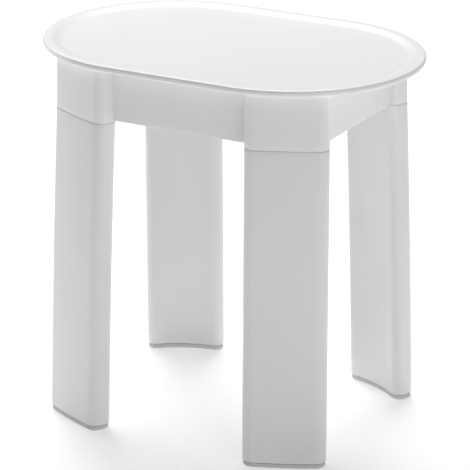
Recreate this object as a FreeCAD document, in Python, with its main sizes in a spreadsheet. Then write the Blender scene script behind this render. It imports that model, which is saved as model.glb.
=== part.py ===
import FreeCAD, Part
import math
import os
import Sketcher
from FreeCAD import Placement, Rotation, Vector

# A moulded shower stool.  One seat moulding carries a dished top, a lip, four flat apron panels and
# four corner sockets.  Four identical hollow legs plug into the sockets and lean outwards, one screw
# holds each of them, and a soft foot pad plugs into the open end of each leg.
#
# Frame: X runs along the seat, Y across it with -Y at the front, and Z is up.  The origin is on the
# floor under the middle of the seat.  All sizes are in millimetres and all angles in degrees.

doc = FreeCAD.newDocument("ShowerStool")
sheet = doc.addObject("Spreadsheet::Sheet", "Sizes")
os.makedirs("parts", exist_ok=True)


class Size:
    """A size that knows its number now and the sheet formula that it comes from."""

    def __init__(self, number, formula):
        self.number = number
        self.formula = formula

    def __add__(self, other):
        other = as_size(other)
        return Size(self.number + other.number, f"({self.formula} + {other.formula})")

    def __sub__(self, other):
        other = as_size(other)
        return Size(self.number - other.number, f"({self.formula} - {other.formula})")

    def __rsub__(self, other):
        return as_size(other) - self

    def __mul__(self, other):
        other = as_size(other)
        return Size(self.number * other.number, f"({self.formula} * {other.formula})")

    def __truediv__(self, other):
        other = as_size(other)
        return Size(self.number / other.number, f"({self.formula} / {other.formula})")

    def __neg__(self):
        return Size(-self.number, f"(0 - {self.formula})")

    __radd__ = __add__
    __rmul__ = __mul__


def as_size(value):
    return value if isinstance(value, Size) else Size(value, str(value))


def cell(name, number, note):
    """Write one driving dimension into the next row of the sheet and hand back its Size."""
    cell.row += 1
    sheet.set(f"A{cell.row}", note)
    sheet.set(f"B{cell.row}", str(number))
    sheet.setAlias(f"B{cell.row}", name)
    return Size(number, f"Sizes.{name}")


cell.row = 0


def sine(angle):
    return Size(math.sin(math.radians(angle.number)), f"sin({angle.formula} * 1 deg)")


def cosine(angle):
    return Size(math.cos(math.radians(angle.number)), f"cos({angle.formula} * 1 deg)")


def bind(thing, path, size):
    thing.setExpression(path, as_size(size).formula)


# ---- driving dimensions: the seat ----
total_height = cell("total_height", 420, "floor to the top of the lip")
seat_length = cell("seat_length", 430, "lip, end to end")
seat_width = cell("seat_width", 287, "lip, front to back")
lip_edge = cell("lip_edge", 7, "height of the lip's edge")
lip_round = cell("lip_round", 2.6, "rounding of the lip's edge, top and bottom")
rim_width = cell("rim_width", 7, "flat rim round the dish")
dish_depth = cell("dish_depth", 3, "depth of the dished top")
dish_slope = cell("dish_slope", 12, "width of the sloping edge of the dish")
apron_rise = cell("apron_rise", 0.5, "lower edge of the apron above the leg joint")
apron_wall = cell("apron_wall", 3, "apron wall")
side_panel_out = cell("side_panel_out", 9.6, "face of a long panel, outside the leg centres")
end_panel_out = cell("end_panel_out", 30, "face of an end panel, outside the leg centres")
rib_wall = cell("rib_wall", 2.5, "rib wall")
rib_depth = cell("rib_depth", 20, "ribs, below the deck")
front_to_back_bays = cell("front_to_back_bays", 6, "bays between the long ribs")
end_to_end_bays = cell("end_to_end_bays", 8, "bays between the cross ribs")
block_lean = cell("block_lean", 0.6, "inward lean of a corner block, from the joint to the deck")
block_draft = cell("block_draft", 0.8, "corner block, smaller all round at the deck")

# ---- driving dimensions: the legs ----
joint_height = cell("joint_height", 352, "floor to the joint between leg and seat")
leg_inset_x = cell("leg_inset_x", 92.1, "leg centre at the joint, in from the end of the lip")
leg_inset_y = cell("leg_inset_y", 35.8, "leg centre at the joint, in from the side of the lip")
leg_turn = cell("leg_turn", 24.5, "turn of a leg's broad face away from the long side")
leg_width = cell("leg_width", 90.2, "leg at the foot, tip to tip")
leg_draft = cell("leg_draft", 0.6, "leg, smaller all round at the joint")
leg_front = cell("leg_front", 12.8, "leg centre to the middle of its outer face")
leg_back = cell("leg_back", 11.4, "leg centre to the middle of its inner face")
crown_radius = cell("crown_radius", 450, "outer face of a leg")
scoop_radius = cell("scoop_radius", 140, "hollow inner face of a leg")
outer_corner = cell("outer_corner", 12.5, "outer corners of a leg")
inner_corner = cell("inner_corner", 10, "inner corners of a leg")
leg_lean = cell("leg_lean", 15, "lean of a leg outwards, from the joint to the floor")
leg_bow = cell("leg_bow", 1.1, "bow of a leg outwards at half height")
leg_wall = cell("leg_wall", 3, "leg wall")
shoulder = cell("shoulder", 3, "leg wall under the joint")
groove_high = cell("groove_high", 0.8, "shadow groove at the joint, height")
groove_deep = cell("groove_deep", 0.8, "shadow groove at the joint, depth")
socket_wall = cell("socket_wall", 3.2, "wall of a corner block round its socket")
spigot_high = cell("spigot_high", 50, "spigot of a leg above the joint")
spigot_wall = cell("spigot_wall", 2.6, "spigot wall")
fit_gap = cell("fit_gap", 0.3, "clearance round a spigot or a plug")

# ---- driving dimensions: the foot pads and the screws ----
pad_high = cell("pad_high", 6.3, "foot pad below the leg")
pad_inset = cell("pad_inset", 1, "foot pad, in from the leg's surface")
pad_round = cell("pad_round", 2, "rounding of the foot pad's lower edge")
plug_high = cell("plug_high", 14, "plug of a foot pad inside its leg")
screw_rise = cell("screw_rise", 28, "screw above the joint")
screw_length = cell("screw_length", 13, "screw under its head")
screw_radius = cell("screw_radius", 1.75, "screw shank")
head_radius = cell("head_radius", 3.8, "screw head")
head_high = cell("head_high", 2.4, "screw head, height")
recess_wide = cell("recess_wide", 1, "arm of the cross recess")
recess_deep = cell("recess_deep", 1.2, "cross recess")
face_deep = cell("face_deep", 0.7, "flat that the screw head seats on")
face_gap = cell("face_gap", 0.7, "clearance round the screw head")
hole_gap = cell("hole_gap", 0.25, "clearance round the screw in the seat")
pilot_gap = cell("pilot_gap", 0.1, "clearance round the screw in the leg")
boss_radius = cell("boss_radius", 4.5, "screw boss inside a spigot, radius")
boss_deep = cell("boss_deep", 8, "screw boss inside a spigot, depth")
doc.recompute()

# ---- places that follow from the sizes ----
leg_x = seat_length / 2 - leg_inset_x
leg_y = seat_width / 2 - leg_inset_y
deck_bottom = total_height - lip_edge
block_high = deck_bottom - joint_height
apron_bottom = joint_height + apron_rise
screw_z = joint_height + screw_rise
spigot_inset = leg_draft + socket_wall + fit_gap
NO_LENGTH = as_size(0)
CUT_PAST = 1
SAME_HEIGHT = 0.01
CUBIC_MM_IN_CM3 = 1000

# Each corner: its name, its sides in X and Y, and how far its leg is turned about Z.
CORNERS = {
    "front_right": (1, -1, leg_turn),
    "front_left": (-1, -1, -leg_turn),
    "rear_left": (-1, 1, 180 + leg_turn),
    "rear_right": (1, 1, 180 - leg_turn),
}


def new_body(name):
    body = doc.addObject("PartDesign::Body", name)
    body.Label = name
    return body


def lean_at(height):
    """How far out of true a leg stands at a height: nothing at the joint, most at the floor.

    The bow is a parabola, at its full height half way down.
    """
    drop = 1 - height / joint_height
    return leg_lean * drop + 4 * leg_bow * drop * (1 - drop)


def block_share(height):
    """The share of a corner block's height that lies below a height."""
    return (height - joint_height) / (deck_bottom - joint_height)


def back_face(inset):
    """How far behind the leg's middle the back of a block or spigot stands, level with the screw."""
    share = block_share(screw_z)
    return leg_back - inset - block_draft * share + block_lean * share


def new_sketch(body, name, height, x=NO_LENGTH, y=NO_LENGTH, turn=NO_LENGTH):
    """A level sketch of a body's own at a height, moved and then turned about Z."""
    sketch = body.newObject("Sketcher::SketchObject", name)
    plane = [item for item in body.Origin.OriginFeatures if item.Role == "XY_Plane"][0]
    sketch.AttachmentSupport = [(plane, "")]
    sketch.MapMode = "FlatFace"
    place = Vector(x.number, y.number, height.number)
    sketch.AttachmentOffset = Placement(place, Rotation(Vector(0, 0, 1), turn.number))
    bind(sketch, "AttachmentOffset.Base.x", x)
    bind(sketch, "AttachmentOffset.Base.y", y)
    bind(sketch, "AttachmentOffset.Base.z", height)
    return sketch


def constrain(sketch, size, *rule):
    """Add a constraint that carries a size, bound to the sheet."""
    index = sketch.addConstraint(Sketcher.Constraint(*rule, size.number))
    bind(sketch, f"Constraints[{index}]", size)


def place_point(sketch, edge, end, x, y):
    """Fix one end of an edge by its distances from the sketch's origin."""
    for kind, size in (("DistanceX", x), ("DistanceY", y)):
        if size.number < 0:
            constrain(sketch, -size, kind, edge, end, -1, 1)
        else:
            constrain(sketch, size, kind, -1, 1, edge, end)


def draw_polygon(sketch, corners):
    """Draw a closed outline of straight edges through points given as pairs of sizes."""
    first = sketch.GeometryCount
    count = len(corners)
    points = [Vector(x.number, y.number, 0) for x, y in corners]
    for index in range(count):
        sketch.addGeometry(Part.LineSegment(points[index], points[(index + 1) % count]), False)
    for index in range(count):
        following = first + (index + 1) % count
        sketch.addConstraint(Sketcher.Constraint("Coincident", first + index, 2, following, 1))
        place_point(sketch, first + index, 1, *corners[index])


def draw_arc(sketch, x, y, radius, start, end):
    circle = Part.Circle(Vector(x, y, 0), Vector(0, 0, 1), radius)
    return sketch.addGeometry(Part.ArcOfCircle(circle, start, end), False)


def draw_stadium(sketch, inset):
    """Draw the seat's outline, two straight sides with half-round ends, moved inwards by a size."""
    radius = seat_width / 2 - inset
    reach = seat_length / 2 - seat_width / 2
    half = reach.number
    quarter = math.pi / 2
    right = draw_arc(sketch, half, 0, radius.number, -quarter, quarter)
    top_right = Vector(half, radius.number, 0)
    top_left = Vector(-half, radius.number, 0)
    top = sketch.addGeometry(Part.LineSegment(top_right, top_left), False)
    left = draw_arc(sketch, -half, 0, radius.number, quarter, 3 * quarter)
    low_left = Vector(-half, -radius.number, 0)
    low_right = Vector(half, -radius.number, 0)
    low = sketch.addGeometry(Part.LineSegment(low_left, low_right), False)
    for edge, end, following, start in ((right, 2, top, 1), (top, 2, left, 1),
                                        (left, 2, low, 1), (low, 2, right, 1)):
        sketch.addConstraint(Sketcher.Constraint("Tangent", edge, end, following, start))
    sketch.addConstraint(Sketcher.Constraint("Horizontal", top))
    sketch.addConstraint(Sketcher.Constraint("PointOnObject", right, 3, -1))
    sketch.addConstraint(Sketcher.Constraint("PointOnObject", left, 3, -1))
    constrain(sketch, radius, "Radius", right)
    constrain(sketch, reach, "DistanceX", -1, 1, right, 3)
    constrain(sketch, reach, "DistanceX", left, 3, -1, 1)


def draw_leg_outline(sketch, inset):
    """Draw a leg's section, moved inwards by a size.

    The outer face is a shallow crown, the tips are flat with a rounded corner on each side, and the
    inner face is scooped, so the section is thickest just inside its tips.
    """
    crown = crown_radius - inset
    scoop = scoop_radius + inset
    outer = outer_corner - inset
    inner = inner_corner - inset
    tip = leg_width / 2 - inset
    crown_y = crown_radius - leg_front
    scoop_y = scoop_radius + leg_back
    outer_x = tip.number - outer.number
    inner_x = tip.number - inner.number
    outer_y = crown_y.number - math.sqrt((crown.number - outer.number) ** 2 - outer_x ** 2)
    inner_y = scoop_y.number - math.sqrt((scoop.number + inner.number) ** 2 - inner_x ** 2)
    low = math.atan2(outer_y - crown_y.number, outer_x)
    high = math.atan2(inner_y - scoop_y.number, inner_x)
    turn = 2 * math.pi
    face = draw_arc(sketch, 0, crown_y.number, crown.number, -math.pi - low, low)
    outer_right = draw_arc(sketch, outer_x, outer_y, outer.number, low, 0)
    tip_low = Vector(tip.number, outer_y, 0)
    tip_high = Vector(tip.number, inner_y, 0)
    right = sketch.addGeometry(Part.LineSegment(tip_low, tip_high), False)
    inner_right = draw_arc(sketch, inner_x, inner_y, inner.number, 0, high + math.pi)
    back = draw_arc(sketch, 0, scoop_y.number, scoop.number, -math.pi - high, high)
    inner_left = draw_arc(sketch, -inner_x, inner_y, inner.number, -high, math.pi)
    tip_low = Vector(-tip.number, outer_y, 0)
    tip_high = Vector(-tip.number, inner_y, 0)
    left = sketch.addGeometry(Part.LineSegment(tip_high, tip_low), False)
    outer_left = draw_arc(sketch, -outer_x, outer_y, outer.number, math.pi, turn - math.pi - low)
    chain = (
        (face, 2, outer_right, 1),
        (outer_right, 2, right, 1),
        (right, 2, inner_right, 1),
        (inner_right, 2, back, 2),
        (back, 1, inner_left, 1),
        (inner_left, 2, left, 1),
        (left, 2, outer_left, 1),
        (outer_left, 2, face, 1),
    )
    for link in chain:
        sketch.addConstraint(Sketcher.Constraint("Tangent", *link))
    for edge, radius in ((face, crown), (back, scoop), (outer_right, outer), (outer_left, outer),
                         (inner_right, inner), (inner_left, inner)):
        constrain(sketch, radius, "Radius", edge)
    for edge, height in ((face, crown_y), (back, scoop_y)):
        sketch.addConstraint(Sketcher.Constraint("PointOnObject", edge, 3, -2))
        constrain(sketch, height, "DistanceY", -1, 1, edge, 3)
    sketch.addConstraint(Sketcher.Constraint("Vertical", right))
    sketch.addConstraint(Sketcher.Constraint("Vertical", left))
    constrain(sketch, tip, "DistanceX", -1, 1, right, 1)
    constrain(sketch, tip, "DistanceX", left, 1, -1, 1)


def add_pad(body, name, sketch, length):
    pad = body.newObject("PartDesign::Pad", name)
    pad.Profile = sketch
    bind(pad, "Length", length)
    return pad


def add_loft(body, kind, name, sketches):
    """Loft through sketches, kind being AdditiveLoft or SubtractiveLoft."""
    loft = body.newObject(f"PartDesign::{kind}", name)
    loft.Profile = sketches[0]
    loft.Sections = sketches[1:]
    return loft


def add_fillet(body, name, base, heights, radius):
    """Round every edge of a feature that lies level at one of some heights."""
    doc.recompute()
    edges = []
    for index, edge in enumerate(base.Shape.Edges, start=1):
        box = edge.BoundBox
        level = box.ZLength < SAME_HEIGHT
        if level and any(abs(box.ZMin - height.number) < SAME_HEIGHT for height in heights):
            edges.append(f"Edge{index}")
    fillet = body.newObject("PartDesign::Fillet", name)
    fillet.Base = (base, edges)
    bind(fillet, "Radius", radius)
    return fillet


def add_cylinder(body, kind, name, radius, length, x, y, z, turn):
    """A level cylinder that starts at a point and runs along -Y, turned about Z."""
    cylinder = body.newObject(f"PartDesign::{kind}", name)
    plane = [item for item in body.Origin.OriginFeatures if item.Role == "XY_Plane"][0]
    cylinder.AttachmentSupport = [(plane, "")]
    cylinder.MapMode = "FlatFace"
    lay_down = Rotation(Vector(1, 0, 0), 90)
    spin = Rotation(Vector(0, 0, 1), turn.number)
    cylinder.AttachmentOffset = Placement(Vector(x.number, y.number, z.number), spin * lay_down)
    bind(cylinder, "AttachmentOffset.Base.x", x)
    bind(cylinder, "AttachmentOffset.Base.y", y)
    bind(cylinder, "AttachmentOffset.Base.z", z)
    bind(cylinder, "Radius", radius)
    bind(cylinder, "Height", length)
    return cylinder


def corner_point(corner, along, back):
    """A point of a corner in the seat's frame, from its place along and behind the leg's middle."""
    side_x, side_y, turn = CORNERS[corner]
    x = side_x * leg_x + along * cosine(turn) - back * sine(turn)
    y = side_y * leg_y + along * sine(turn) + back * cosine(turn)
    return x, y


def corner_sketch(body, name, corner, height, inset):
    """A block's section at a corner of the seat, which leans inwards and narrows towards the deck."""
    share = block_share(height)
    x, y = corner_point(corner, NO_LENGTH, block_lean * share)
    sketch = new_sketch(body, name, height, x, y, CORNERS[corner][2])
    draw_leg_outline(sketch, inset + block_draft * share)
    return sketch


def apron_outline(inset):
    """The corners of the apron's outline, moved inwards by a size on its four panels.

    Neighbouring panels would meet on the middle line of a corner block, so that is where they end.
    """
    side_x = leg_x - side_panel_out * cosine(leg_turn) / sine(leg_turn)
    side_y = leg_y + side_panel_out - inset
    end_x = leg_x + end_panel_out - inset
    end_y = leg_y - end_panel_out * sine(leg_turn) / cosine(leg_turn)
    quarter = ((side_x, side_y), (end_x, end_y))
    outline = []
    for sign_x, sign_y, order in ((1, -1, 1), (1, 1, -1), (-1, 1, 1), (-1, -1, -1)):
        outline += [(sign_x * x, sign_y * y) for x, y in quarter[::order]]
    return outline


def panel_reach():
    """How far out the middles of the end panels and of the long panels stand."""
    (side_x, side_y), (end_x, end_y) = apron_outline(apron_wall / 2)[:2]
    return end_x, -side_y


def rib_places(reach, bays):
    """Where the ribs stand that share out the distance from -reach to reach in equal bays."""
    return [reach * (2 * index / bays - 1) for index in map(as_size, range(1, bays.number))]


def rectangle(x_low, x_high, y_low, y_high):
    return [(x_low, y_low), (x_high, y_low), (x_high, y_high), (x_low, y_high)]


def make_seat():
    seat = new_body("seat")

    # The top plate with its rounded lip, and the dish in it.
    lip_sketch = new_sketch(seat, "lip_outline", deck_bottom)
    draw_stadium(lip_sketch, NO_LENGTH)
    plate = add_pad(seat, "top_plate", lip_sketch, lip_edge)
    add_fillet(seat, "lip_rounding", plate, (deck_bottom, total_height), lip_round)
    dish_top = new_sketch(seat, "dish_rim", total_height)
    draw_stadium(dish_top, rim_width)
    dish_floor = new_sketch(seat, "dish_floor", total_height - dish_depth)
    draw_stadium(dish_floor, rim_width + dish_slope)
    add_loft(seat, "SubtractiveLoft", "dish", [dish_top, dish_floor])

    # Four apron panels in one closed ring, whose corners run inside the corner blocks.
    ring = new_sketch(seat, "apron_ring", apron_bottom)
    draw_polygon(ring, apron_outline(NO_LENGTH))
    draw_polygon(ring, apron_outline(apron_wall))
    add_pad(seat, "apron", ring, deck_bottom - apron_bottom)

    # Evenly spaced ribs under the deck, which end in the middle of the panels.
    reach_x, reach_y = panel_reach()
    rib_bottom = deck_bottom - rib_depth
    half_rib = rib_wall / 2
    long_ribs = new_sketch(seat, "long_rib_lines", rib_bottom)
    for middle in rib_places(reach_y, front_to_back_bays):
        draw_polygon(long_ribs, rectangle(-reach_x, reach_x, middle - half_rib, middle + half_rib))
    add_pad(seat, "long_ribs", long_ribs, rib_depth)
    cross_ribs = new_sketch(seat, "cross_rib_lines", rib_bottom)
    for middle in rib_places(reach_x, end_to_end_bays):
        draw_polygon(cross_ribs, rectangle(middle - half_rib, middle + half_rib, -reach_y, reach_y))
    add_pad(seat, "cross_ribs", cross_ribs, rib_depth)

    # A block at each corner with the leg's own section, the socket in it and the screw's hole.
    for corner in CORNERS:
        solid = [corner_sketch(seat, f"block_{corner}_{end}", corner, height, leg_draft)
                 for end, height in (("low", joint_height), ("high", deck_bottom))]
        add_loft(seat, "AdditiveLoft", f"block_{corner}", solid)
    for corner, (*_, turn) in CORNERS.items():
        hollow = [corner_sketch(seat, f"socket_{corner}_{end}", corner, height, leg_draft + socket_wall)
                  for end, height in (("low", joint_height - CUT_PAST), ("high", deck_bottom))]
        add_loft(seat, "SubtractiveLoft", f"socket_{corner}", hollow)
        x, y = corner_point(corner, NO_LENGTH, back_face(leg_draft) + face_deep)
        add_cylinder(seat, "SubtractiveCylinder", f"screw_face_{corner}", head_radius + face_gap,
                     face_deep * 2, x, y, screw_z, turn)
        add_cylinder(seat, "SubtractiveCylinder", f"screw_hole_{corner}", screw_radius + hole_gap,
                     socket_wall + face_deep * 2, x, y, screw_z, turn)
    return seat


def leg_section(body, name, height, inset):
    """A leg's section in the leg's own frame at a height below the joint, shifted by its lean."""
    sketch = new_sketch(body, name, height, NO_LENGTH, -lean_at(height))
    draw_leg_outline(sketch, inset + leg_draft * height / joint_height)
    return sketch


def spigot_section(body, name, height, inset):
    """A leg's section above the joint, where the spigot leans and narrows with the block."""
    share = block_share(height)
    sketch = new_sketch(body, name, height, NO_LENGTH, block_lean * share)
    draw_leg_outline(sketch, inset + block_draft * share)
    return sketch


def place_at_corner(body, corner):
    side_x, side_y, turn = CORNERS[corner]
    place = Vector((side_x * leg_x).number, (side_y * leg_y).number, 0)
    body.Placement = Placement(place, Rotation(Vector(0, 0, 1), turn.number))
    bind(body, "Placement.Base.x", side_x * leg_x)
    bind(body, "Placement.Base.y", side_y * leg_y)


def make_leg(corner):
    leg = new_body(f"leg_{corner}")
    top = joint_height - groove_high
    middle = joint_height / 2
    outside = [leg_section(leg, f"outside_{index}", height, NO_LENGTH)
               for index, height in enumerate((pad_high, middle, top))]
    add_loft(leg, "AdditiveLoft", "shaft", outside)
    collar = spigot_section(leg, "collar_outline", top, leg_draft + groove_deep)
    add_pad(leg, "collar", collar, groove_high)
    spigot_top = joint_height + spigot_high
    spigot = [spigot_section(leg, f"spigot_{index}", height, spigot_inset)
              for index, height in enumerate((joint_height, spigot_top))]
    add_loft(leg, "AdditiveLoft", "spigot", spigot)

    # The leg is hollow from its foot to the shoulder, and the spigot from there to its closed end.
    ceiling = top - shoulder
    inside = [leg_section(leg, f"inside_{index}", height, leg_wall)
              for index, height in enumerate((pad_high - CUT_PAST, middle, ceiling))]
    add_loft(leg, "SubtractiveLoft", "shaft_hollow", inside)
    core = [spigot_section(leg, f"core_{index}", height, spigot_inset + spigot_wall)
            for index, height in enumerate((ceiling - CUT_PAST, spigot_top - spigot_wall))]
    add_loft(leg, "SubtractiveLoft", "spigot_hollow", core)

    # A boss inside the spigot takes the screw.
    spigot_face = back_face(spigot_inset)
    boss_start = spigot_face - spigot_wall / 2
    add_cylinder(leg, "AdditiveCylinder", "screw_boss", boss_radius, boss_deep,
                 NO_LENGTH, boss_start, screw_z, NO_LENGTH)
    pilot_start = spigot_face + CUT_PAST
    add_cylinder(leg, "SubtractiveCylinder", "screw_pilot", screw_radius + pilot_gap,
                 CUT_PAST + spigot_wall / 2 + boss_deep + CUT_PAST,
                 NO_LENGTH, pilot_start, screw_z, NO_LENGTH)
    place_at_corner(leg, corner)
    return leg


def make_foot_pad(corner):
    pad = new_body(f"foot_pad_{corner}")
    tread_outline = new_sketch(pad, "tread_outline", NO_LENGTH, NO_LENGTH, -lean_at(pad_high))
    draw_leg_outline(tread_outline, pad_inset)
    tread = add_pad(pad, "tread", tread_outline, pad_high)
    add_fillet(pad, "tread_rounding", tread, (NO_LENGTH,), pad_round)
    plug = [leg_section(pad, f"plug_{index}", height, leg_wall + fit_gap)
            for index, height in enumerate((pad_high, pad_high + plug_high))]
    add_loft(pad, "AdditiveLoft", "plug", plug)
    place_at_corner(pad, corner)
    return pad


def make_screw():
    """One screw in its own frame: its head's seat at the origin, its shank along -Y."""
    screw = new_body("leg_screw")
    add_cylinder(screw, "AdditiveCylinder", "shank", screw_radius, screw_length,
                 NO_LENGTH, NO_LENGTH, NO_LENGTH, NO_LENGTH)
    head = add_cylinder(screw, "AdditiveCylinder", "head", head_radius, head_high,
                        NO_LENGTH, head_high, NO_LENGTH, NO_LENGTH)
    for name, wide, high in (("recess_a", recess_wide, head_radius),
                             ("recess_b", head_radius, recess_wide)):
        arm = screw.newObject("PartDesign::SubtractiveBox", name)
        arm.AttachmentSupport = head.AttachmentSupport
        arm.MapMode = "FlatFace"
        bind(arm, "AttachmentOffset.Base.x", -wide / 2)
        bind(arm, "AttachmentOffset.Base.y", head_high - recess_deep)
        bind(arm, "AttachmentOffset.Base.z", -high / 2)
        bind(arm, "Length", wide)
        bind(arm, "Width", recess_deep + CUT_PAST)
        bind(arm, "Height", high)
    return screw


def make_screw_group(screw):
    """The four identical screws, each at its corner, as one group of separate solids."""
    copies = []
    for corner, (*_, turn) in CORNERS.items():
        x, y = corner_point(corner, NO_LENGTH, back_face(leg_draft) - face_deep)
        place = Vector(x.number, y.number, screw_z.number)
        copy = screw.Shape.copy()
        copy.Placement = Placement(place, Rotation(Vector(0, 0, 1), turn.number))
        copies.append(copy)
    group = doc.addObject("Part::Feature", "leg_screws")
    group.Label = "leg_screws"
    group.Shape = Part.makeCompound(copies)
    return group


pieces = [make_seat()]
pieces += [make_leg(corner) for corner in CORNERS]
pieces += [make_foot_pad(corner) for corner in CORNERS]
one_screw = make_screw()
doc.recompute()
pieces.append(make_screw_group(one_screw))
doc.recompute()

for item in doc.Objects:
    if "Invalid" in item.State or "Error" in item.State:
        raise RuntimeError(f"{item.Name} did not recompute: {item.State}")
for piece in pieces:
    shape = piece.Shape
    if shape.isNull() or not shape.isValid():
        raise RuntimeError(f"{piece.Label} has no valid shape")
    solids = len(shape.Solids)
    expected = len(CORNERS) if piece.Label == "leg_screws" else 1
    if solids != expected:
        raise RuntimeError(f"{piece.Label} has {solids} solids, not {expected}")
for piece in pieces:
    piece.Shape.exportStep(f"parts/{piece.Label}.step")
    print(piece.Label, f"{piece.Shape.Volume / CUBIC_MM_IN_CM3:.1f} cm3")
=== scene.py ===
# %% [markdown]
# # A moulded stool for the shower
# The stool is a short list of plastic mouldings: a seat with a dished top, four broad hollow legs
# that plug into its corners, and a soft grey pad under each leg.  The CAD model fixes every size and
# place.  This lesson rebuilds each moulding as a clean mesh with the small roundings that catch the
# light, gives it a finish, and sets it in a plain studio.

# %% Load the CAD frame
import math

import bmesh
import bpy
import numpy as np
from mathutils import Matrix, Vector


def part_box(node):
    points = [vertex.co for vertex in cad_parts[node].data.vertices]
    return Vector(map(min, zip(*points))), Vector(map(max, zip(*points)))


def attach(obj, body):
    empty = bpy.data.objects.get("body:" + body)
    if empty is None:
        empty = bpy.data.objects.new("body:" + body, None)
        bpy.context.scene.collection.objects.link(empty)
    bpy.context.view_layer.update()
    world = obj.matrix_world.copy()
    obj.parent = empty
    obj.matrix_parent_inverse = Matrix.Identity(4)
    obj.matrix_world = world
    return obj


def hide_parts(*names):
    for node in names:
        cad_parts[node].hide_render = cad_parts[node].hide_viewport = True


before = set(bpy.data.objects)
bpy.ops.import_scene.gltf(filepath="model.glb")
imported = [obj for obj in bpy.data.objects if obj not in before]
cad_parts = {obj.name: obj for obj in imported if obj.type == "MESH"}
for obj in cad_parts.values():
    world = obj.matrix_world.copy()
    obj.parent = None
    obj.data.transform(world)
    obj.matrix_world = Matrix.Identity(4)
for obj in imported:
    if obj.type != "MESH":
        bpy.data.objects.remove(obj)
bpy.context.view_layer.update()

MM = 0.001
BODY = "root"
CORNERS = ("front_right", "front_left", "rear_left", "rear_right")

# %% [markdown]
# ## Where things are
# Positions come from the frame, so the mesh work follows the CAD model if its overall size changes.
# The seat's box gives the lip, the top and the joint.  What a box can't say, such as a radius or the
# turn of a leg, is a named size below, in millimetres like a maker's drawing.

# %% Sizes from the frame and from the drawing
seat_low, seat_high = (Vector(corner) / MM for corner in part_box("seat"))

TOP = seat_high.z
JOINT = seat_low.z
SEAT_LENGTH = seat_high.x - seat_low.x
SEAT_WIDTH = seat_high.y - seat_low.y
LIP_EDGE = 7
DECK_BOTTOM = TOP - LIP_EDGE
LEG_INSET_X = 92.1
LEG_INSET_Y = 35.8
LEG_X = SEAT_LENGTH / 2 - LEG_INSET_X
LEG_Y = SEAT_WIDTH / 2 - LEG_INSET_Y
LEG_TURN = math.radians(24.5)
FIT_GAP = 0.3
print(f"lip {SEAT_LENGTH:.1f} x {SEAT_WIDTH:.1f}, top {TOP:.1f}, joint {JOINT:.1f} mm")

# %% [markdown]
# ## Skinning rings
# Nearly every piece here is a moulding whose section changes a little along its height.  Stacking
# rings of the same number of points and bridging them with four-sided faces gives full control of
# every radius.  A Bevel modifier could round a plain box too, but it can't follow a lip, a cove and a
# dish that all belong to one profile.

# %% Make a closed mesh from a stack of rings
SHARP_ANGLE = math.radians(38)


def skin(name, rings, ends):
    """Bridge rings into quads; the two ends of the stack are "capped", or "joined" to each other."""
    mesh = bpy.data.meshes.new(name)
    work = bmesh.new()
    stack = [[work.verts.new(Vector(point) * MM) for point in ring] for ring in rings]
    pairs = list(zip(stack, stack[1:]))
    if ends == "joined":
        pairs.append((stack[-1], stack[0]))
    for low, high in pairs:
        count = len(low)
        for index in range(count):
            after = (index + 1) % count
            work.faces.new((low[index], low[after], high[after], high[index]))
    if ends == "capped":
        work.faces.new(stack[0])
        work.faces.new(stack[-1])
    bmesh.ops.recalc_face_normals(work, faces=work.faces)
    work.to_mesh(mesh)
    work.free()
    mesh.shade_smooth()
    mesh.set_sharp_from_angle(angle=SHARP_ANGLE)
    piece = bpy.data.objects.new(name, mesh)
    bpy.context.scene.collection.objects.link(piece)
    return piece


def settle(piece, material, slot, *nodes):
    """Give a finished piece its material, hang it on the body and hide the CAD parts that it stands
    for; the slot is not used.
    """
    piece.data.materials.clear()
    piece.data.materials.append(material)
    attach(piece, BODY)
    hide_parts(*nodes)
    print(piece.name, len(piece.data.polygons), "faces")


def quarter_round(radius, steps):
    """Points of a quarter circle as (how far in, how far up), from the side to the end face."""
    angles = np.linspace(0, math.pi / 2, steps)
    return [(radius * (1 - math.cos(angle)), radius * math.sin(angle)) for angle in angles]


# %% [markdown]
# ## Finishes as Python sums
# A procedural material is easier to read as arithmetic than as a list of links.  The small class here
# wraps a socket, so that `0.3 + 0.1 * grain` adds the Math nodes by itself.  One method makes any
# other node: its settings go in first, then the values or links of its inputs.

# %% A socket that does sums, and a material that makes nodes
class Wire:
    """An output socket of a node tree that can be used in sums."""

    def __init__(self, paint, socket):
        self.paint = paint
        self.socket = socket

    def math(self, operation, first, second):
        values = {0: first, 1: second}
        return self.paint.node("ShaderNodeMath", {"operation": operation}, values)

    def __add__(self, other):
        return self.math("ADD", self, other)

    def __rsub__(self, other):
        return self.math("SUBTRACT", other, self)

    def __mul__(self, other):
        return self.math("MULTIPLY", self, other)

    __radd__ = __add__
    __rmul__ = __mul__


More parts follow.
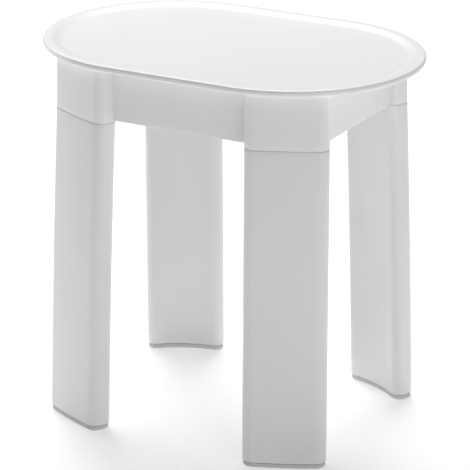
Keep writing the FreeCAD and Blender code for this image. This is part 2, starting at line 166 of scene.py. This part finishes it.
class Paint:
    """A material with its node tree, its Principled shader and a way to add nodes."""

    def __init__(self, name, **fixed):
        self.material = bpy.data.materials.new(name)
        self.material.use_nodes = True
        self.tree = self.material.node_tree
        self.shader = self.tree.nodes["Principled BSDF"]
        for label, value in fixed.items():
            self.shader.inputs[label.replace("_", " ")].default_value = value

    def node(self, kind, settings=None, values=None, output=0):
        made = self.tree.nodes.new(kind)
        for label, value in (settings or {}).items():
            setattr(made, label, value)
        for label, value in (values or {}).items():
            self.feed(made.inputs[label], value)
        return Wire(self, made.outputs[output])

    def feed(self, target, value):
        if isinstance(value, Wire):
            self.tree.links.new(value.socket, target)
        else:
            target.default_value = value

    def drive(self, label, value):
        self.feed(self.shader.inputs[label], value)

    def place(self):
        return self.node("ShaderNodeTexCoord", output="Object")

    def noise(self, scale, detail, **values):
        values = {"Vector": self.place(), "Scale": scale, "Detail": detail, **values}
        return self.node("ShaderNodeTexNoise", None, values)

    def ramp(self, value, low, high):
        """Bring a value from low to high up to 0 to 1, smoothly."""
        settings = {"interpolation_type": "SMOOTHSTEP"}
        values = {"Value": value, "From Min": low, "From Max": high}
        return self.node("ShaderNodeMapRange", settings, values)

    def blend(self, share, first, second):
        """Mix two colours; the Mix node keeps its colour sockets at these places."""
        values = {0: share, 6: first, 7: second}
        return self.node("ShaderNodeMix", {"data_type": "RGBA"}, values, output=2)

    def bump(self, height, distance, strength, normal=None):
        values = {"Height": height, "Distance": distance, "Strength": strength}
        if normal is not None:
            values["Normal"] = normal
        return self.node("ShaderNodeBump", None, values)


# %% [markdown]
# ## White moulded plastic
# The real finish is a clean white with a satin skin: broad soft reflections rather than sharp ones.
# Up close a moulded skin is never perfect.  It has a faint orange peel a millimetre or two across,
# a fine grain from the polished steel of the mould, and thin scuffs where the stool is handled.  All
# of that is far too small for the mesh, so it goes into roughness and a very shallow bump.

# %% Mix the white plastic
SEAT_TONE = 0.86
LEG_TONE = 0.85
FLOW_SCALE = 7.0
FLOW_BAND = (0.3, 0.7)
FLOW_SHADE = 0.985
PATCH_SCALE = 38.0
PATCH_BAND = (0.5, 0.68)
SCRATCH_SCALE = 900.0
SCRATCH_STRETCH = (1.0, 1.0, 0.12)
SCRATCH_BAND = (0.66, 0.74)
SCUFF_SHADE = 0.93
SCUFF_SHARE = 0.25
SATIN = 0.3
PATCH_ROUGH = 0.05
GRAIN_ROUGH = 0.03
SCUFF_ROUGH = 0.12
PEEL_SCALE = 520.0
PEEL_DEPTH = 0.12 * MM
PEEL_STRENGTH = 0.25
GRAIN_SCALE = 3800.0
GRAIN_DEPTH = 0.03 * MM
GRAIN_STRENGTH = 0.3

# Painted shade towards the feet of the legs, with wear: the white is darkened near the floor, and the
# skin is made rougher there.
LEG_FOOT_SHADE_AND_WEAR = 0.16
SHADE_AND_WEAR_TOP = 110 * MM
SHADE_AND_WEAR_LEAST = 0.4
SHADE_AND_WEAR_BAND = (0.35, 0.7)
FOOT_PAINTED_SHADE = 0.84
WEAR_ROUGH = 0.15


def grey(level):
    return (level, level, level, 1.0)


def white_plastic(name, tone, foot_shade_and_wear=0.0):
    """White plastic of a tone, with an amount of painted shade and scuffing near the floor."""
    paint = Paint(name, IOR=1.49, Coat_Weight=0.12, Coat_Roughness=0.12)
    flow = paint.noise(FLOW_SCALE, 2)
    peel = paint.noise(PEEL_SCALE, 2)
    grain = paint.noise(GRAIN_SCALE, 2)
    patches = paint.noise(PATCH_SCALE, 4, Roughness=0.62)
    scratch_way = paint.node("ShaderNodeMapping", None,
                             {"Vector": paint.place(), "Scale": SCRATCH_STRETCH})
    scratches = paint.node("ShaderNodeTexNoise", None,
                           {"Vector": scratch_way, "Scale": SCRATCH_SCALE, "Detail": 1.0})
    scuffs = paint.ramp(scratches, *SCRATCH_BAND) * paint.ramp(patches, *PATCH_BAND)
    white = paint.blend(paint.ramp(flow, *FLOW_BAND), grey(tone), grey(tone * FLOW_SHADE))
    white = paint.blend(scuffs * SCUFF_SHARE, white, grey(tone * SCUFF_SHADE))
    gloss = SATIN + PATCH_ROUGH * patches + GRAIN_ROUGH * grain + SCUFF_ROUGH * scuffs
    # Near the floor the white is darkened in patches as painted shade, and made rougher as wear.
    if foot_shade_and_wear:
        height = paint.node("ShaderNodeSeparateXYZ", None, {"Vector": paint.place()}, output="Z")
        low_down = 1 - paint.ramp(height, 0.0, SHADE_AND_WEAR_TOP)
        low_patches = low_down * (SHADE_AND_WEAR_LEAST + paint.ramp(patches, *SHADE_AND_WEAR_BAND)) * foot_shade_and_wear
        white = paint.blend(low_patches, white, grey(tone * FOOT_PAINTED_SHADE))
        gloss = gloss + WEAR_ROUGH * low_patches
    paint.drive("Base Color", white)
    paint.drive("Roughness", gloss)
    skin_bump = paint.bump(peel, PEEL_DEPTH, PEEL_STRENGTH)
    paint.drive("Normal", paint.bump(grain, GRAIN_DEPTH, GRAIN_STRENGTH, skin_bump))
    return paint.material


seat_white = white_plastic("seat_plastic", SEAT_TONE)
leg_white = white_plastic("leg_plastic", LEG_TONE, LEG_FOOT_SHADE_AND_WEAR)
print("white plastics:", seat_white.name, leg_white.name)

# %% [markdown]
# ## Grey rubber and screw steel
# The pads are a soft grey rubber.  It is matt, slightly mottled, and dusted a little paler low down
# where it rubs on the floor.  The screws are plain stainless with fine turning marks.

# %% Mix the rubber and the steel
RUBBER_DARK = 0.63
RUBBER_PALE = 0.67
RUBBER_WORN = 0.72
MOTTLE_SCALE = 60.0
MOTTLE_ROUGH = 0.12
RUBBER_MATT = 0.62
RUBBER_GRAIN_SCALE = 2200.0
RUBBER_GRAIN_DEPTH = 0.12 * MM
RUB_TOP = 3 * MM
RUB_BAND = (0.42, 0.6)
RUB_SHARE = 0.5
RUB_ROUGH = 0.1
RUBBER_GRAIN_STRENGTH = 0.5

STEEL_DARK = 0.62
STEEL_PALE = 0.7
STEEL_ROUGH = 0.26
SMEAR_SCALE = 300.0
SMEAR_ROUGH = 0.1
TURNING_SCALE = 5200.0
TURNING_DEPTH = 0.02 * MM
TURNING_STRENGTH = 0.5
TURNING_ROUGH = 0.06


def pad_rubber():
    paint = Paint("pad_rubber", IOR=1.5, Specular_IOR_Level=0.35)
    mottle = paint.noise(MOTTLE_SCALE, 5)
    grain = paint.noise(RUBBER_GRAIN_SCALE, 3)
    height = paint.node("ShaderNodeSeparateXYZ", None, {"Vector": paint.place()}, output="Z")
    low_patches = (1 - paint.ramp(height, 0.0, RUB_TOP)) * paint.ramp(mottle, *RUB_BAND)
    rubber = paint.blend(mottle, grey(RUBBER_DARK), grey(RUBBER_PALE))
    paint.drive("Base Color", paint.blend(low_patches * RUB_SHARE, rubber, grey(RUBBER_WORN)))
    paint.drive("Roughness", RUBBER_MATT + MOTTLE_ROUGH * mottle + RUB_ROUGH * low_patches)
    paint.drive("Normal", paint.bump(grain, RUBBER_GRAIN_DEPTH, RUBBER_GRAIN_STRENGTH))
    return paint.material


def screw_steel():
    paint = Paint("screw_steel", Metallic=1.0)
    turning = paint.noise(TURNING_SCALE, 2)
    smears = paint.noise(SMEAR_SCALE, 3)
    paint.drive("Base Color", paint.blend(smears, grey(STEEL_DARK), grey(STEEL_PALE)))
    paint.drive("Roughness", STEEL_ROUGH + SMEAR_ROUGH * smears + TURNING_ROUGH * turning)
    paint.drive("Normal", paint.bump(turning, TURNING_DEPTH, TURNING_STRENGTH))
    return paint.material


rubber = pad_rubber()
steel = screw_steel()
print("rubber and steel:", rubber.name, steel.name)

# %% [markdown]
# ## The section of a leg
# Seen from above, a leg is a broad flat bar: its outer face is slightly crowned, its tips are rounded,
# and its inner face is scooped.  Every edge of it is an arc, so moving the whole outline in or out
# only changes the radii.  The corner blocks of the seat, the sockets, the legs and the pads all share
# this one outline, which is why the joint lines up all the way round.

# %% Draw the leg's outline with arcs
LEG_WIDTH = 90.2
LEG_FRONT = 12.8
LEG_BACK = 11.4
LEG_DRAFT = 0.6
CROWN_RADIUS = 450
SCOOP_RADIUS = 140
OUTER_CORNER = 12.5
INNER_CORNER = 10
ARC_STEPS = 13


def arc(x, y, radius, start, end, steps=ARC_STEPS):
    angles = np.linspace(start, end, steps)
    return [(x + radius * math.cos(angle), y + radius * math.sin(angle)) for angle in angles]


def leg_outline(inset):
    """The section of a leg, moved inwards by a distance: outer face towards -Y, inner towards +Y."""
    tip = LEG_WIDTH / 2
    crown_y = CROWN_RADIUS - LEG_FRONT
    scoop_y = SCOOP_RADIUS + LEG_BACK
    outer_x = tip - OUTER_CORNER
    inner_x = tip - INNER_CORNER
    outer_y = crown_y - math.sqrt((CROWN_RADIUS - OUTER_CORNER) ** 2 - outer_x ** 2)
    inner_y = scoop_y - math.sqrt((SCOOP_RADIUS + INNER_CORNER) ** 2 - inner_x ** 2)
    low = math.atan2(outer_y - crown_y, outer_x)
    high = math.atan2(inner_y - scoop_y, inner_x)
    half_turn = math.pi
    outline = arc(0, crown_y, CROWN_RADIUS - inset, -half_turn - low, low, 2 * ARC_STEPS)
    outline += arc(outer_x, outer_y, OUTER_CORNER - inset, low, 0)[1:]
    outline += arc(inner_x, inner_y, INNER_CORNER - inset, 0, high + half_turn)
    outline += arc(0, scoop_y, SCOOP_RADIUS + inset, high, -half_turn - high, 2 * ARC_STEPS)[1:]
    outline += arc(-inner_x, inner_y, INNER_CORNER - inset, -high, half_turn)[1:]
    outline += arc(-outer_x, outer_y, OUTER_CORNER - inset, half_turn, half_turn - low)[:-1]
    return np.array(outline)


def corner_frame(corner):
    """Where a corner's leg stands at the joint, and how far it is turned."""
    side_x = 1 if corner.endswith("right") else -1
    side_y = -1 if corner.startswith("front") else 1
    turn = LEG_TURN * -side_x * side_y
    if side_y > 0:
        turn += math.pi
    return np.array((side_x * LEG_X, side_y * LEG_Y)), turn


def ring_at(corner, inset, height, back):
    """One ring of a corner's outline: moved inwards, moved back from its face, and set at a height."""
    place, turn = corner_frame(corner)
    points = leg_outline(inset) + (0, back)
    cos = math.cos(turn)
    sin = math.sin(turn)
    x = place[0] + cos * points[:, 0] - sin * points[:, 1]
    y = place[1] + sin * points[:, 0] + cos * points[:, 1]
    return np.column_stack((x, y, np.full(len(points), height)))


print("points round a leg:", len(leg_outline(0)))

# %% [markdown]
# ## The seat's top
# The top is a stadium: two straight sides and two half-round ends.  One profile runs all the way
# round it: under the lip, round its edge, across a narrow flat rim and down a soft slope into the
# dish.  Bodies sit on the broad floor of the dish, which sags by less than a millimetre so that the
# light moves across it as it does on a real moulding.

# %% Run one profile round the stadium
LIP_ROUND = 2.6
RIM_WIDTH = 8.5
DISH_SLOPE = 12.0
DISH_DEPTH = 3.4
DISH_SAG = 0.5
END_STEPS = 97
SIDE_STEPS = 49
ROUND_STEPS = 9
SLOPE_STEPS = 17
FLOOR_STEPS = 15
EDGE_LOOP = 1
CENTRE_GAP = 1


def stadium(inset, height):
    """The lip's outline as one ring, moved inwards by a distance."""
    reach = (SEAT_LENGTH - SEAT_WIDTH) / 2
    radius = SEAT_WIDTH / 2 - inset
    quarter = math.pi / 2
    right = arc(reach, 0, radius, -quarter, quarter, END_STEPS)
    left = arc(-reach, 0, radius, quarter, 3 * quarter, END_STEPS)
    top = [(x, radius) for x in np.linspace(reach, -reach, SIDE_STEPS)[1:-1]]
    low = [(x, -radius) for x in np.linspace(-reach, reach, SIDE_STEPS)[1:-1]]
    outline = right + top + left + low
    return [(x, y, height) for x, y in outline]


def top_profile():
    """How far in and how high the profile is, from under the deck to the middle of the dish."""
    centre = SEAT_WIDTH / 2 - CENTRE_GAP
    under = [(inset, DECK_BOTTOM) for inset in (centre, centre / 2, LIP_ROUND + EDGE_LOOP)]
    rounding = quarter_round(LIP_ROUND, ROUND_STEPS)
    lower = [(inset, DECK_BOTTOM + LIP_ROUND - rise) for inset, rise in reversed(rounding)]
    upper = [(inset, TOP - LIP_ROUND + rise) for inset, rise in rounding]
    slope = [(RIM_WIDTH + share * DISH_SLOPE, TOP - DISH_DEPTH * (1 - math.cos(math.pi * share)) / 2)
             for share in np.linspace(0, 1, SLOPE_STEPS)]
    start = RIM_WIDTH + DISH_SLOPE
    floor = [(start + share * (centre - start), TOP - DISH_DEPTH - DISH_SAG * share * (2 - share))
             for share in np.linspace(0, 1, FLOOR_STEPS)[1:]]
    return under + lower + upper + slope + floor


seat_top = skin("seat_top", [stadium(*step) for step in top_profile()], "capped")
settle(seat_top, seat_white, "seat_plastic", "seat")

# %% [markdown]
# ## The apron
# Four flat panels hang from the deck and stiffen it.  They stand well back under the lip, and each
# ends inside a corner block.  At the top a cove, a hollow rounding, leads from the panel out to the
# underside of the lip, because a moulding never has a sharp inner corner.  The section is swept round
# the outline as one closed ring: up the outside, through the cove, and down the inside.

# %% Sweep the apron's section round its outline
COVE = 6
INNER_CUT = 1.0
APRON_RISE = 0.5
APRON_WALL = 3
SIDE_PANEL_OUT = 9.6
END_PANEL_OUT = 30.0
APRON_ROUND = 0.8
PANEL_STEPS = 12
WALL_STEPS = 9
COVE_STEPS = 10
EDGE_STEPS = 5


def apron_outline(inset):
    """The corners of the four panels, which end on the middle lines of the corner blocks."""
    side_x = LEG_X - SIDE_PANEL_OUT / math.tan(LEG_TURN)
    side_y = LEG_Y + SIDE_PANEL_OUT - inset
    end_x = LEG_X + END_PANEL_OUT - inset
    end_y = LEG_Y - END_PANEL_OUT * math.tan(LEG_TURN)
    quarter = ((side_x, side_y), (end_x, end_y))
    corners = []
    for sign_x, sign_y, order in ((1, -1, 1), (1, 1, -1), (-1, 1, 1), (-1, -1, -1)):
        corners += [(sign_x * x, sign_y * y) for x, y in quarter[::order]]
    return corners


def apron_ring(inset, height):
    """The panels' outline as one ring, with each panel cut into equal steps."""
    corners = [np.array(corner) for corner in apron_outline(inset)]
    ring = []
    for start, end in zip(corners, corners[1:] + corners[:1]):
        ring += [start + (end - start) * step / PANEL_STEPS for step in range(PANEL_STEPS)]
    return [(x, y, height) for x, y in ring]


def wall_profile(bottom, wall, edge_round, taper=0.0):
    """A hanging wall as (how far in, how high): outside, cove, top inside the deck, inner face."""
    rounding = quarter_round(edge_round, EDGE_STEPS)
    cove_start = DECK_BOTTOM - COVE
    straight_start = bottom + edge_round
    outer = [(inset, straight_start - rise) for inset, rise in reversed(rounding)]
    straight = [(taper * share, straight_start + (cove_start - straight_start) * share)
                for share in np.linspace(0, 1, WALL_STEPS)[1:]]
    cove = [(taper - inset, cove_start + rise) for inset, rise in quarter_round(COVE, COVE_STEPS)[1:]]
    hidden = DECK_BOTTOM + INNER_CUT
    inner = [(taper - COVE, hidden), (taper + wall, hidden), (wall, straight_start)]
    inner += [(wall - inset, straight_start - rise) for inset, rise in rounding[1:]]
    return outer + straight + cove + inner


apron_profile = wall_profile(JOINT + APRON_RISE, APRON_WALL, APRON_ROUND)
apron = skin("seat_apron", [apron_ring(*step) for step in apron_profile], "joined")
settle(apron, seat_white, "seat_plastic", "seat")

# %% [markdown]
# ## The corner blocks
# A block is the top end of a leg that belongs to the seat: the same outline, a little smaller towards
# the deck so that it leaves its mould, with the same cove under the lip.  It is hollow, and that
# hollow is the socket of the leg.

# %% Raise a block at each corner
SOCKET_WALL = 3.2
BLOCK_DRAFT = 0.8
BLOCK_LEAN = 0.6
JOINT_ROUND = 0.5


def block_share(height):
    """The share of a corner block that lies below a height."""
    return (height - JOINT) / (DECK_BOTTOM - JOINT)


block_profile = wall_profile(JOINT, SOCKET_WALL, JOINT_ROUND, BLOCK_DRAFT)
for corner in CORNERS:
    rings = [ring_at(corner, LEG_DRAFT + inset, height, BLOCK_LEAN * block_share(height))
             for inset, height in block_profile]
    block = skin(f"seat_block_{corner}", rings, "joined")
    settle(block, seat_white, "seat_plastic", "seat")

# %% [markdown]
# ## The legs
# Each leg is a tall hollow moulding.  It leans outwards square to its broad face, with a slight bow,
# and grows a little towards the floor.  At the joint it steps in by less than a millimetre, which
# leaves the thin shadow line round each corner of the stool, and above that its spigot goes up into
# the socket.  Below, the leg is open, and its wall shows as a thin edge above the pad.

# %% Stack each leg from its spigot down and back up its hollow
PAD_HIGH = 6.3
LEG_LEAN = 15.0
LEG_BOW = 1.1
LEG_WALL = 3.0
SHOULDER = 3.0
GROOVE_HIGH = 0.8
GROOVE_DEEP = 0.8
SPIGOT_HIGH = 50
SPIGOT_LEAD = 2.0
SPIGOT_INSET = LEG_DRAFT + SOCKET_WALL + FIT_GAP
FOOT_ROUND = 0.6
SHAFT_STEPS = 40


def lean_at(height):
    """How far a leg stands out from the joint's place at a height."""
    drop = 1 - height / JOINT
    return LEG_LEAN * drop + 4 * LEG_BOW * drop * (1 - drop)


def leg_ring(corner, inset, height):
    """A ring of a leg below the joint, where the outline grows towards the floor and leans out."""
    return ring_at(corner, inset + LEG_DRAFT * height / JOINT, height, -lean_at(height))


def spigot_ring(corner, inset, height):
    """A ring of a leg above the joint, which leans and narrows as the corner block does."""
    share = block_share(height)
    return ring_at(corner, inset + BLOCK_DRAFT * share, height, BLOCK_LEAN * share)


def leg_rings(corner):
    """A leg from the top of its spigot down the outside, round its foot and back up its hollow."""
    spigot_top = JOINT + SPIGOT_HIGH
    groove_low = JOINT - GROOVE_HIGH
    rings = [spigot_ring(corner, SPIGOT_INSET + SPIGOT_LEAD, spigot_top),
             spigot_ring(corner, SPIGOT_INSET, spigot_top - 2 * SPIGOT_LEAD),
             spigot_ring(corner, SPIGOT_INSET, JOINT),
             spigot_ring(corner, LEG_DRAFT + GROOVE_DEEP, JOINT),
             spigot_ring(corner, LEG_DRAFT + GROOVE_DEEP, groove_low)]
    top_edge = [(inset, groove_low - JOINT_ROUND + rise)
                for inset, rise in reversed(quarter_round(JOINT_ROUND, EDGE_STEPS))]
    foot_edge = [(inset, PAD_HIGH + FOOT_ROUND - rise)
                 for inset, rise in quarter_round(FOOT_ROUND, EDGE_STEPS)]
    shaft = np.linspace(groove_low - JOINT_ROUND, PAD_HIGH + FOOT_ROUND, SHAFT_STEPS)[1:-1]
    outside = top_edge + [(0.0, height) for height in shaft] + foot_edge
    hollow = np.linspace(PAD_HIGH, groove_low - SHOULDER, SHAFT_STEPS // 2)
    rings += [leg_ring(corner, inset, height) for inset, height in outside]
    rings += [leg_ring(corner, LEG_WALL, height) for height in hollow]
    return rings


for corner in CORNERS:
    leg = skin(f"leg_{corner}_moulding", leg_rings(corner), "capped")
    settle(leg, leg_white, "leg_plastic", f"leg_{corner}")

# %% [markdown]
# ## The foot pads
# A pad is a soft tread a few millimetres thick, set in a little from the leg all round, with a plug
# that holds it in the leg.  Its top stops just short of the leg, which leaves a fine shadow line.
# Its lower edge is well rounded, and grooves in its sole follow the outline, so that water gets out
# from under it and the stool doesn't slide.

# %% Mould a pad for each leg
PAD_INSET = 1.0
PAD_ROUND = 2.0
PAD_ROUND_STEPS = 8
PAD_TOP_ROUND = 0.5
PAD_TOP_STEPS = 4
PAD_NECK = 0.9
PLUG_HIGH = 14
PLUG_LEAD = 1.5
GROOVE_PLACES = (3.6, 6.4)
GROOVE_WIDE = 1.3
GROOVE_SLANT = 0.2
SOLE_GROOVE = 0.9


def pad_rings(corner):
    """A foot pad from the grooves in its sole round its edge and up to the top of its plug."""
    plug_top = PAD_HIGH + PLUG_HIGH
    plug_inset = LEG_WALL + FIT_GAP
    tread_top = PAD_HIGH - PAD_NECK
    profile = []
    for place in reversed(GROOVE_PLACES):
        start = PAD_INSET + place
        end = start + GROOVE_WIDE
        profile += [(end, 0.0), (end - GROOVE_SLANT, SOLE_GROOVE),
                    (start + GROOVE_SLANT, SOLE_GROOVE), (start, 0.0)]
    profile += [(PAD_INSET + inset, PAD_ROUND - rise)
                for inset, rise in reversed(quarter_round(PAD_ROUND, PAD_ROUND_STEPS))]
    profile += [(PAD_INSET + inset, tread_top - PAD_TOP_ROUND + rise)
                for inset, rise in quarter_round(PAD_TOP_ROUND, PAD_TOP_STEPS)]
    profile += [(plug_inset, tread_top), (plug_inset, plug_top - PLUG_LEAD),
                (plug_inset + PLUG_LEAD, plug_top)]
    return [leg_ring(corner, inset, height) for inset, height in profile]


for corner in CORNERS:
    pad = skin(f"foot_pad_{corner}_moulding", pad_rings(corner), "capped")
    settle(pad, rubber, "pad_rubber", f"foot_pad_{corner}")

# %% [markdown]
# ## Ribs under the deck
# A thin deck needs a grid of ribs to carry a person.  The ribs repeat with an even pitch, so a small
# node tree lays them out: a row of points, one slab on each, with the count, the pitch and the slab's
# size as named inputs.  The two outer slabs of a row can be shorter, because they end against the
# corner blocks.  The result is made a plain mesh.

# %% Build the node tree that lays out a row of ribs
def rib_tree(material):
    """Make the node tree, and hand back the names that its inputs go by as well."""
    tree = bpy.data.node_groups.new("row_of_ribs", "GeometryNodeTree")
    inputs = {}
    for label, kind in (("Count", "Int"), ("Pitch", "Float"), ("Wall", "Float"), ("Depth", "Float"),
                        ("Length", "Float"), ("Outer Length", "Float"), ("Height", "Float"),
                        ("Turn", "Float")):
        made = tree.interface.new_socket(name=label, in_out="INPUT", socket_type=f"NodeSocket{kind}")
        inputs[label] = made.identifier
    tree.interface.new_socket(name="Ribs", in_out="OUTPUT", socket_type="NodeSocketGeometry")
    start = tree.nodes.new("NodeGroupInput")
    end = tree.nodes.new("NodeGroupOutput")

    def node(kind, settings=None, values=None, output=0):
        made = tree.nodes.new(kind)
        for label, value in (settings or {}).items():
            setattr(made, label, value)
        for label, value in (values or {}).items():
            if isinstance(value, bpy.types.NodeSocket):
                tree.links.new(value, made.inputs[label])
            else:
                made.inputs[label].default_value = value
        return made.outputs[output]

    def math_node(operation, *values):
        return node("ShaderNodeMath", {"operation": operation}, dict(enumerate(values)))

    given = start.outputs
    last = math_node("SUBTRACT", given["Count"], 1.0)
    first_x = math_node("MULTIPLY", math_node("MULTIPLY", last, given["Pitch"]), -0.5)
    start_point = node("ShaderNodeCombineXYZ", None, {"X": first_x, "Z": given["Height"]})
    step = node("ShaderNodeCombineXYZ", None, {"X": given["Pitch"]})
    row = node("GeometryNodeMeshLine", {"mode": "OFFSET", "count_mode": "TOTAL"},
               {"Count": given["Count"], "Start Location": start_point, "Offset": step})
    index = node("GeometryNodeInputIndex")
    from_start = math_node("LESS_THAN", index, 0.5)
    from_end = math_node("GREATER_THAN", index, math_node("SUBTRACT", last, 0.5))
    outer = math_node("MAXIMUM", from_start, from_end)
    difference = math_node("SUBTRACT", given["Outer Length"], given["Length"])
    length = math_node("MULTIPLY_ADD", outer, difference, given["Length"])
    slab_size = node("ShaderNodeCombineXYZ", None, {"X": given["Wall"], "Y": 1.0, "Z": given["Depth"]})
    slab = node("GeometryNodeMeshCube", None,
                {"Size": slab_size, "Vertices X": 2, "Vertices Y": 2, "Vertices Z": 2})
    stretch = node("ShaderNodeCombineXYZ", None, {"X": 1.0, "Y": length, "Z": 1.0})
    placed = node("GeometryNodeInstanceOnPoints", None,
                  {"Points": row, "Instance": slab, "Scale": stretch})
    spin = node("ShaderNodeCombineXYZ", None, {"Z": given["Turn"]})
    turned = node("GeometryNodeTransform", None, {"Geometry": placed, "Rotation": spin})
    real = node("GeometryNodeRealizeInstances", None, {"Geometry": turned})
    done = node("GeometryNodeSetMaterial", None, {"Geometry": real, "Material": material})
    tree.links.new(done, end.inputs["Ribs"])
    return tree, inputs


def row_of_ribs(name, tree, inputs, **sizes):
    """Run the tree once and hand back its result as a plain mesh object."""
    carrier = bpy.data.objects.new(f"{name}_carrier", bpy.data.meshes.new(f"{name}_carrier"))
    bpy.context.scene.collection.objects.link(carrier)
    modifier = carrier.modifiers.new("Ribs", "NODES")
    modifier.node_group = tree
    for label, value in sizes.items():
        modifier[inputs[label.replace("_", " ")]] = value
    ready = carrier.evaluated_get(bpy.context.evaluated_depsgraph_get())
    mesh = bpy.data.meshes.new_from_object(ready)
    bpy.data.objects.remove(carrier)
    piece = bpy.data.objects.new(name, mesh)
    bpy.context.scene.collection.objects.link(piece)
    return piece


# %% Lay out the long ribs and the cross ribs
RIB_WALL = 2.5
RIB_DEPTH = 20
LONG_BAYS = 6
CROSS_BAYS = 8
OUTER_CROSS_RIB = 196
RIB_BEVEL = 0.4
BEVEL_SEGMENTS = 2

panel_x = LEG_X + END_PANEL_OUT - APRON_WALL / 2
panel_y = LEG_Y + SIDE_PANEL_OUT - APRON_WALL / 2
ribs_tree, rib_inputs = rib_tree(seat_white)
rib_height = (DECK_BOTTOM + INNER_CUT - (RIB_DEPTH + INNER_CUT) / 2) * MM
shared = {"Wall": RIB_WALL * MM, "Depth": (RIB_DEPTH + INNER_CUT) * MM, "Height": rib_height}
rows = (
    ("seat_cross_ribs", CROSS_BAYS, panel_x, panel_y, OUTER_CROSS_RIB, 0.0),
    ("seat_long_ribs", LONG_BAYS, panel_y, panel_x, 2 * panel_x, math.pi / 2),
)
for name, bays, across, along, outer_length, turn in rows:
    ribs = row_of_ribs(name, ribs_tree, rib_inputs, Count=bays - 1, Pitch=2 * across / bays * MM,
                       Length=2 * along * MM, Outer_Length=outer_length * MM, Turn=turn, **shared)
    bevel = ribs.modifiers.new("Bevel", "BEVEL")
    bevel.width = RIB_BEVEL * MM
    bevel.segments = BEVEL_SEGMENTS
    settle(ribs, seat_white, "seat_plastic", "seat")

# %% [markdown]
# ## The screws
# The four screws come straight from the CAD model, whose pan heads and cross recesses are already
# right.  They only need their steel.

# %% Give the screws their steel
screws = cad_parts["leg_screws"]
for slot in screws.material_slots:
    slot.material = steel
print("screws:", len(screws.material_slots), "material slot")

# %% [markdown]
# ## A plain studio
# White plastic on a pale floor needs gentle contrast.  Large soft lights from high behind the stool
# keep its top bright and catch the far slope of the dish, light from the left draws the pale edges of
# the legs, and the front is left dimmer, so that the broad faces read as planes.  The floor glows a
# little, like a lit table, which fills the shadows from below.

# %% Floor and world
FLOOR_SIZE = 40.0
FLOOR_TONE = 0.9
FLOOR_SHADE = 0.99
FLOOR_CLOUD_SCALE = 1.5
FLOOR_GLOW = 0.38
WORLD_LIGHT = 0.06

floor_mesh = bpy.data.meshes.new("floor")
half = FLOOR_SIZE / 2
floor_corners = [(-half, -half, 0), (half, -half, 0), (half, half, 0), (-half, half, 0)]
floor_mesh.from_pydata(floor_corners, [], [(0, 1, 2, 3)])
floor = bpy.data.objects.new("floor", floor_mesh)
bpy.context.scene.collection.objects.link(floor)
floor_paint = Paint("floor_paint", Roughness=0.9, Specular_IOR_Level=0.1, Emission_Strength=FLOOR_GLOW)
cloudy = floor_paint.noise(FLOOR_CLOUD_SCALE, 2)
floor_tones = floor_paint.blend(cloudy, grey(FLOOR_TONE), grey(FLOOR_TONE * FLOOR_SHADE))
floor_paint.drive("Base Color", floor_tones)
floor_paint.drive("Emission Color", grey(1.0))
floor_mesh.materials.append(floor_paint.material)

world = bpy.data.worlds.new("studio")
bpy.context.scene.world = world
world.use_nodes = True
background = world.node_tree.nodes["Background"]
background.inputs["Color"].default_value = grey(1.0)
background.inputs["Strength"].default_value = WORLD_LIGHT
print("floor", FLOOR_SIZE, "m square, world light", WORLD_LIGHT)

# %% Soft lights round the stool
LIGHT_REACH = 2.8
STOOL_MIDDLE = Vector((0, 0, 0.25))


def softbox(name, turn, rise, size, watts):
    """A square light aimed at the stool: its turn goes from the front round by the right."""
    turn = math.radians(turn)
    rise = math.radians(rise)
    level = Vector((math.sin(turn), -math.cos(turn), 0)) * math.cos(rise)
    place = STOOL_MIDDLE + LIGHT_REACH * (level + Vector((0, 0, math.sin(rise))))
    data = bpy.data.lights.new(name, "AREA")
    data.size = size
    data.energy = watts
    lamp = bpy.data.objects.new(name, data)
    lamp.location = place
    lamp.rotation_euler = (STOOL_MIDDLE - place).to_track_quat("-Z", "Y").to_euler()
    bpy.context.scene.collection.objects.link(lamp)
    print("light", name, watts, "W")


softbox("overhead", turn=0, rise=90, size=2.2, watts=14)
softbox("back_high", turn=208, rise=63, size=1.6, watts=61)
softbox("back_left", turn=240, rise=40, size=1.5, watts=22)
softbox("right_high", turn=60, rise=40, size=1.5, watts=8)
softbox("right_low", turn=60, rise=8, size=1.3, watts=7.7)
softbox("left_low", turn=270, rise=8, size=1.3, watts=15)

# %% [markdown]
# ## The camera
# A long lens from well back keeps the verticals calm.  The camera looks down by about twenty degrees
# from the front right.

# %% Set up the camera
CAMERA_TURN = math.radians(28.69)
CAMERA_DROP = math.radians(20.07)
CAMERA_BACK = 3.0484
CAMERA_LENS = 211.68
SENSOR_WIDTH = 36.0
AIM = Vector((0.0020, 0.0018, 0.1998))

camera_data = bpy.data.cameras.new("camera")
camera_data.lens = CAMERA_LENS
camera_data.sensor_width = SENSOR_WIDTH
camera = bpy.data.objects.new("camera", camera_data)
bpy.context.scene.collection.objects.link(camera)
level = Vector((-math.sin(CAMERA_TURN), math.cos(CAMERA_TURN), 0))
sight = level * math.cos(CAMERA_DROP) - Vector((0, 0, math.sin(CAMERA_DROP)))
camera.location = AIM - sight * CAMERA_BACK
camera.rotation_euler = (math.pi / 2 - CAMERA_DROP, 0, CAMERA_TURN)
bpy.context.scene.camera = camera
bpy.context.scene.view_settings.view_transform = "Standard"
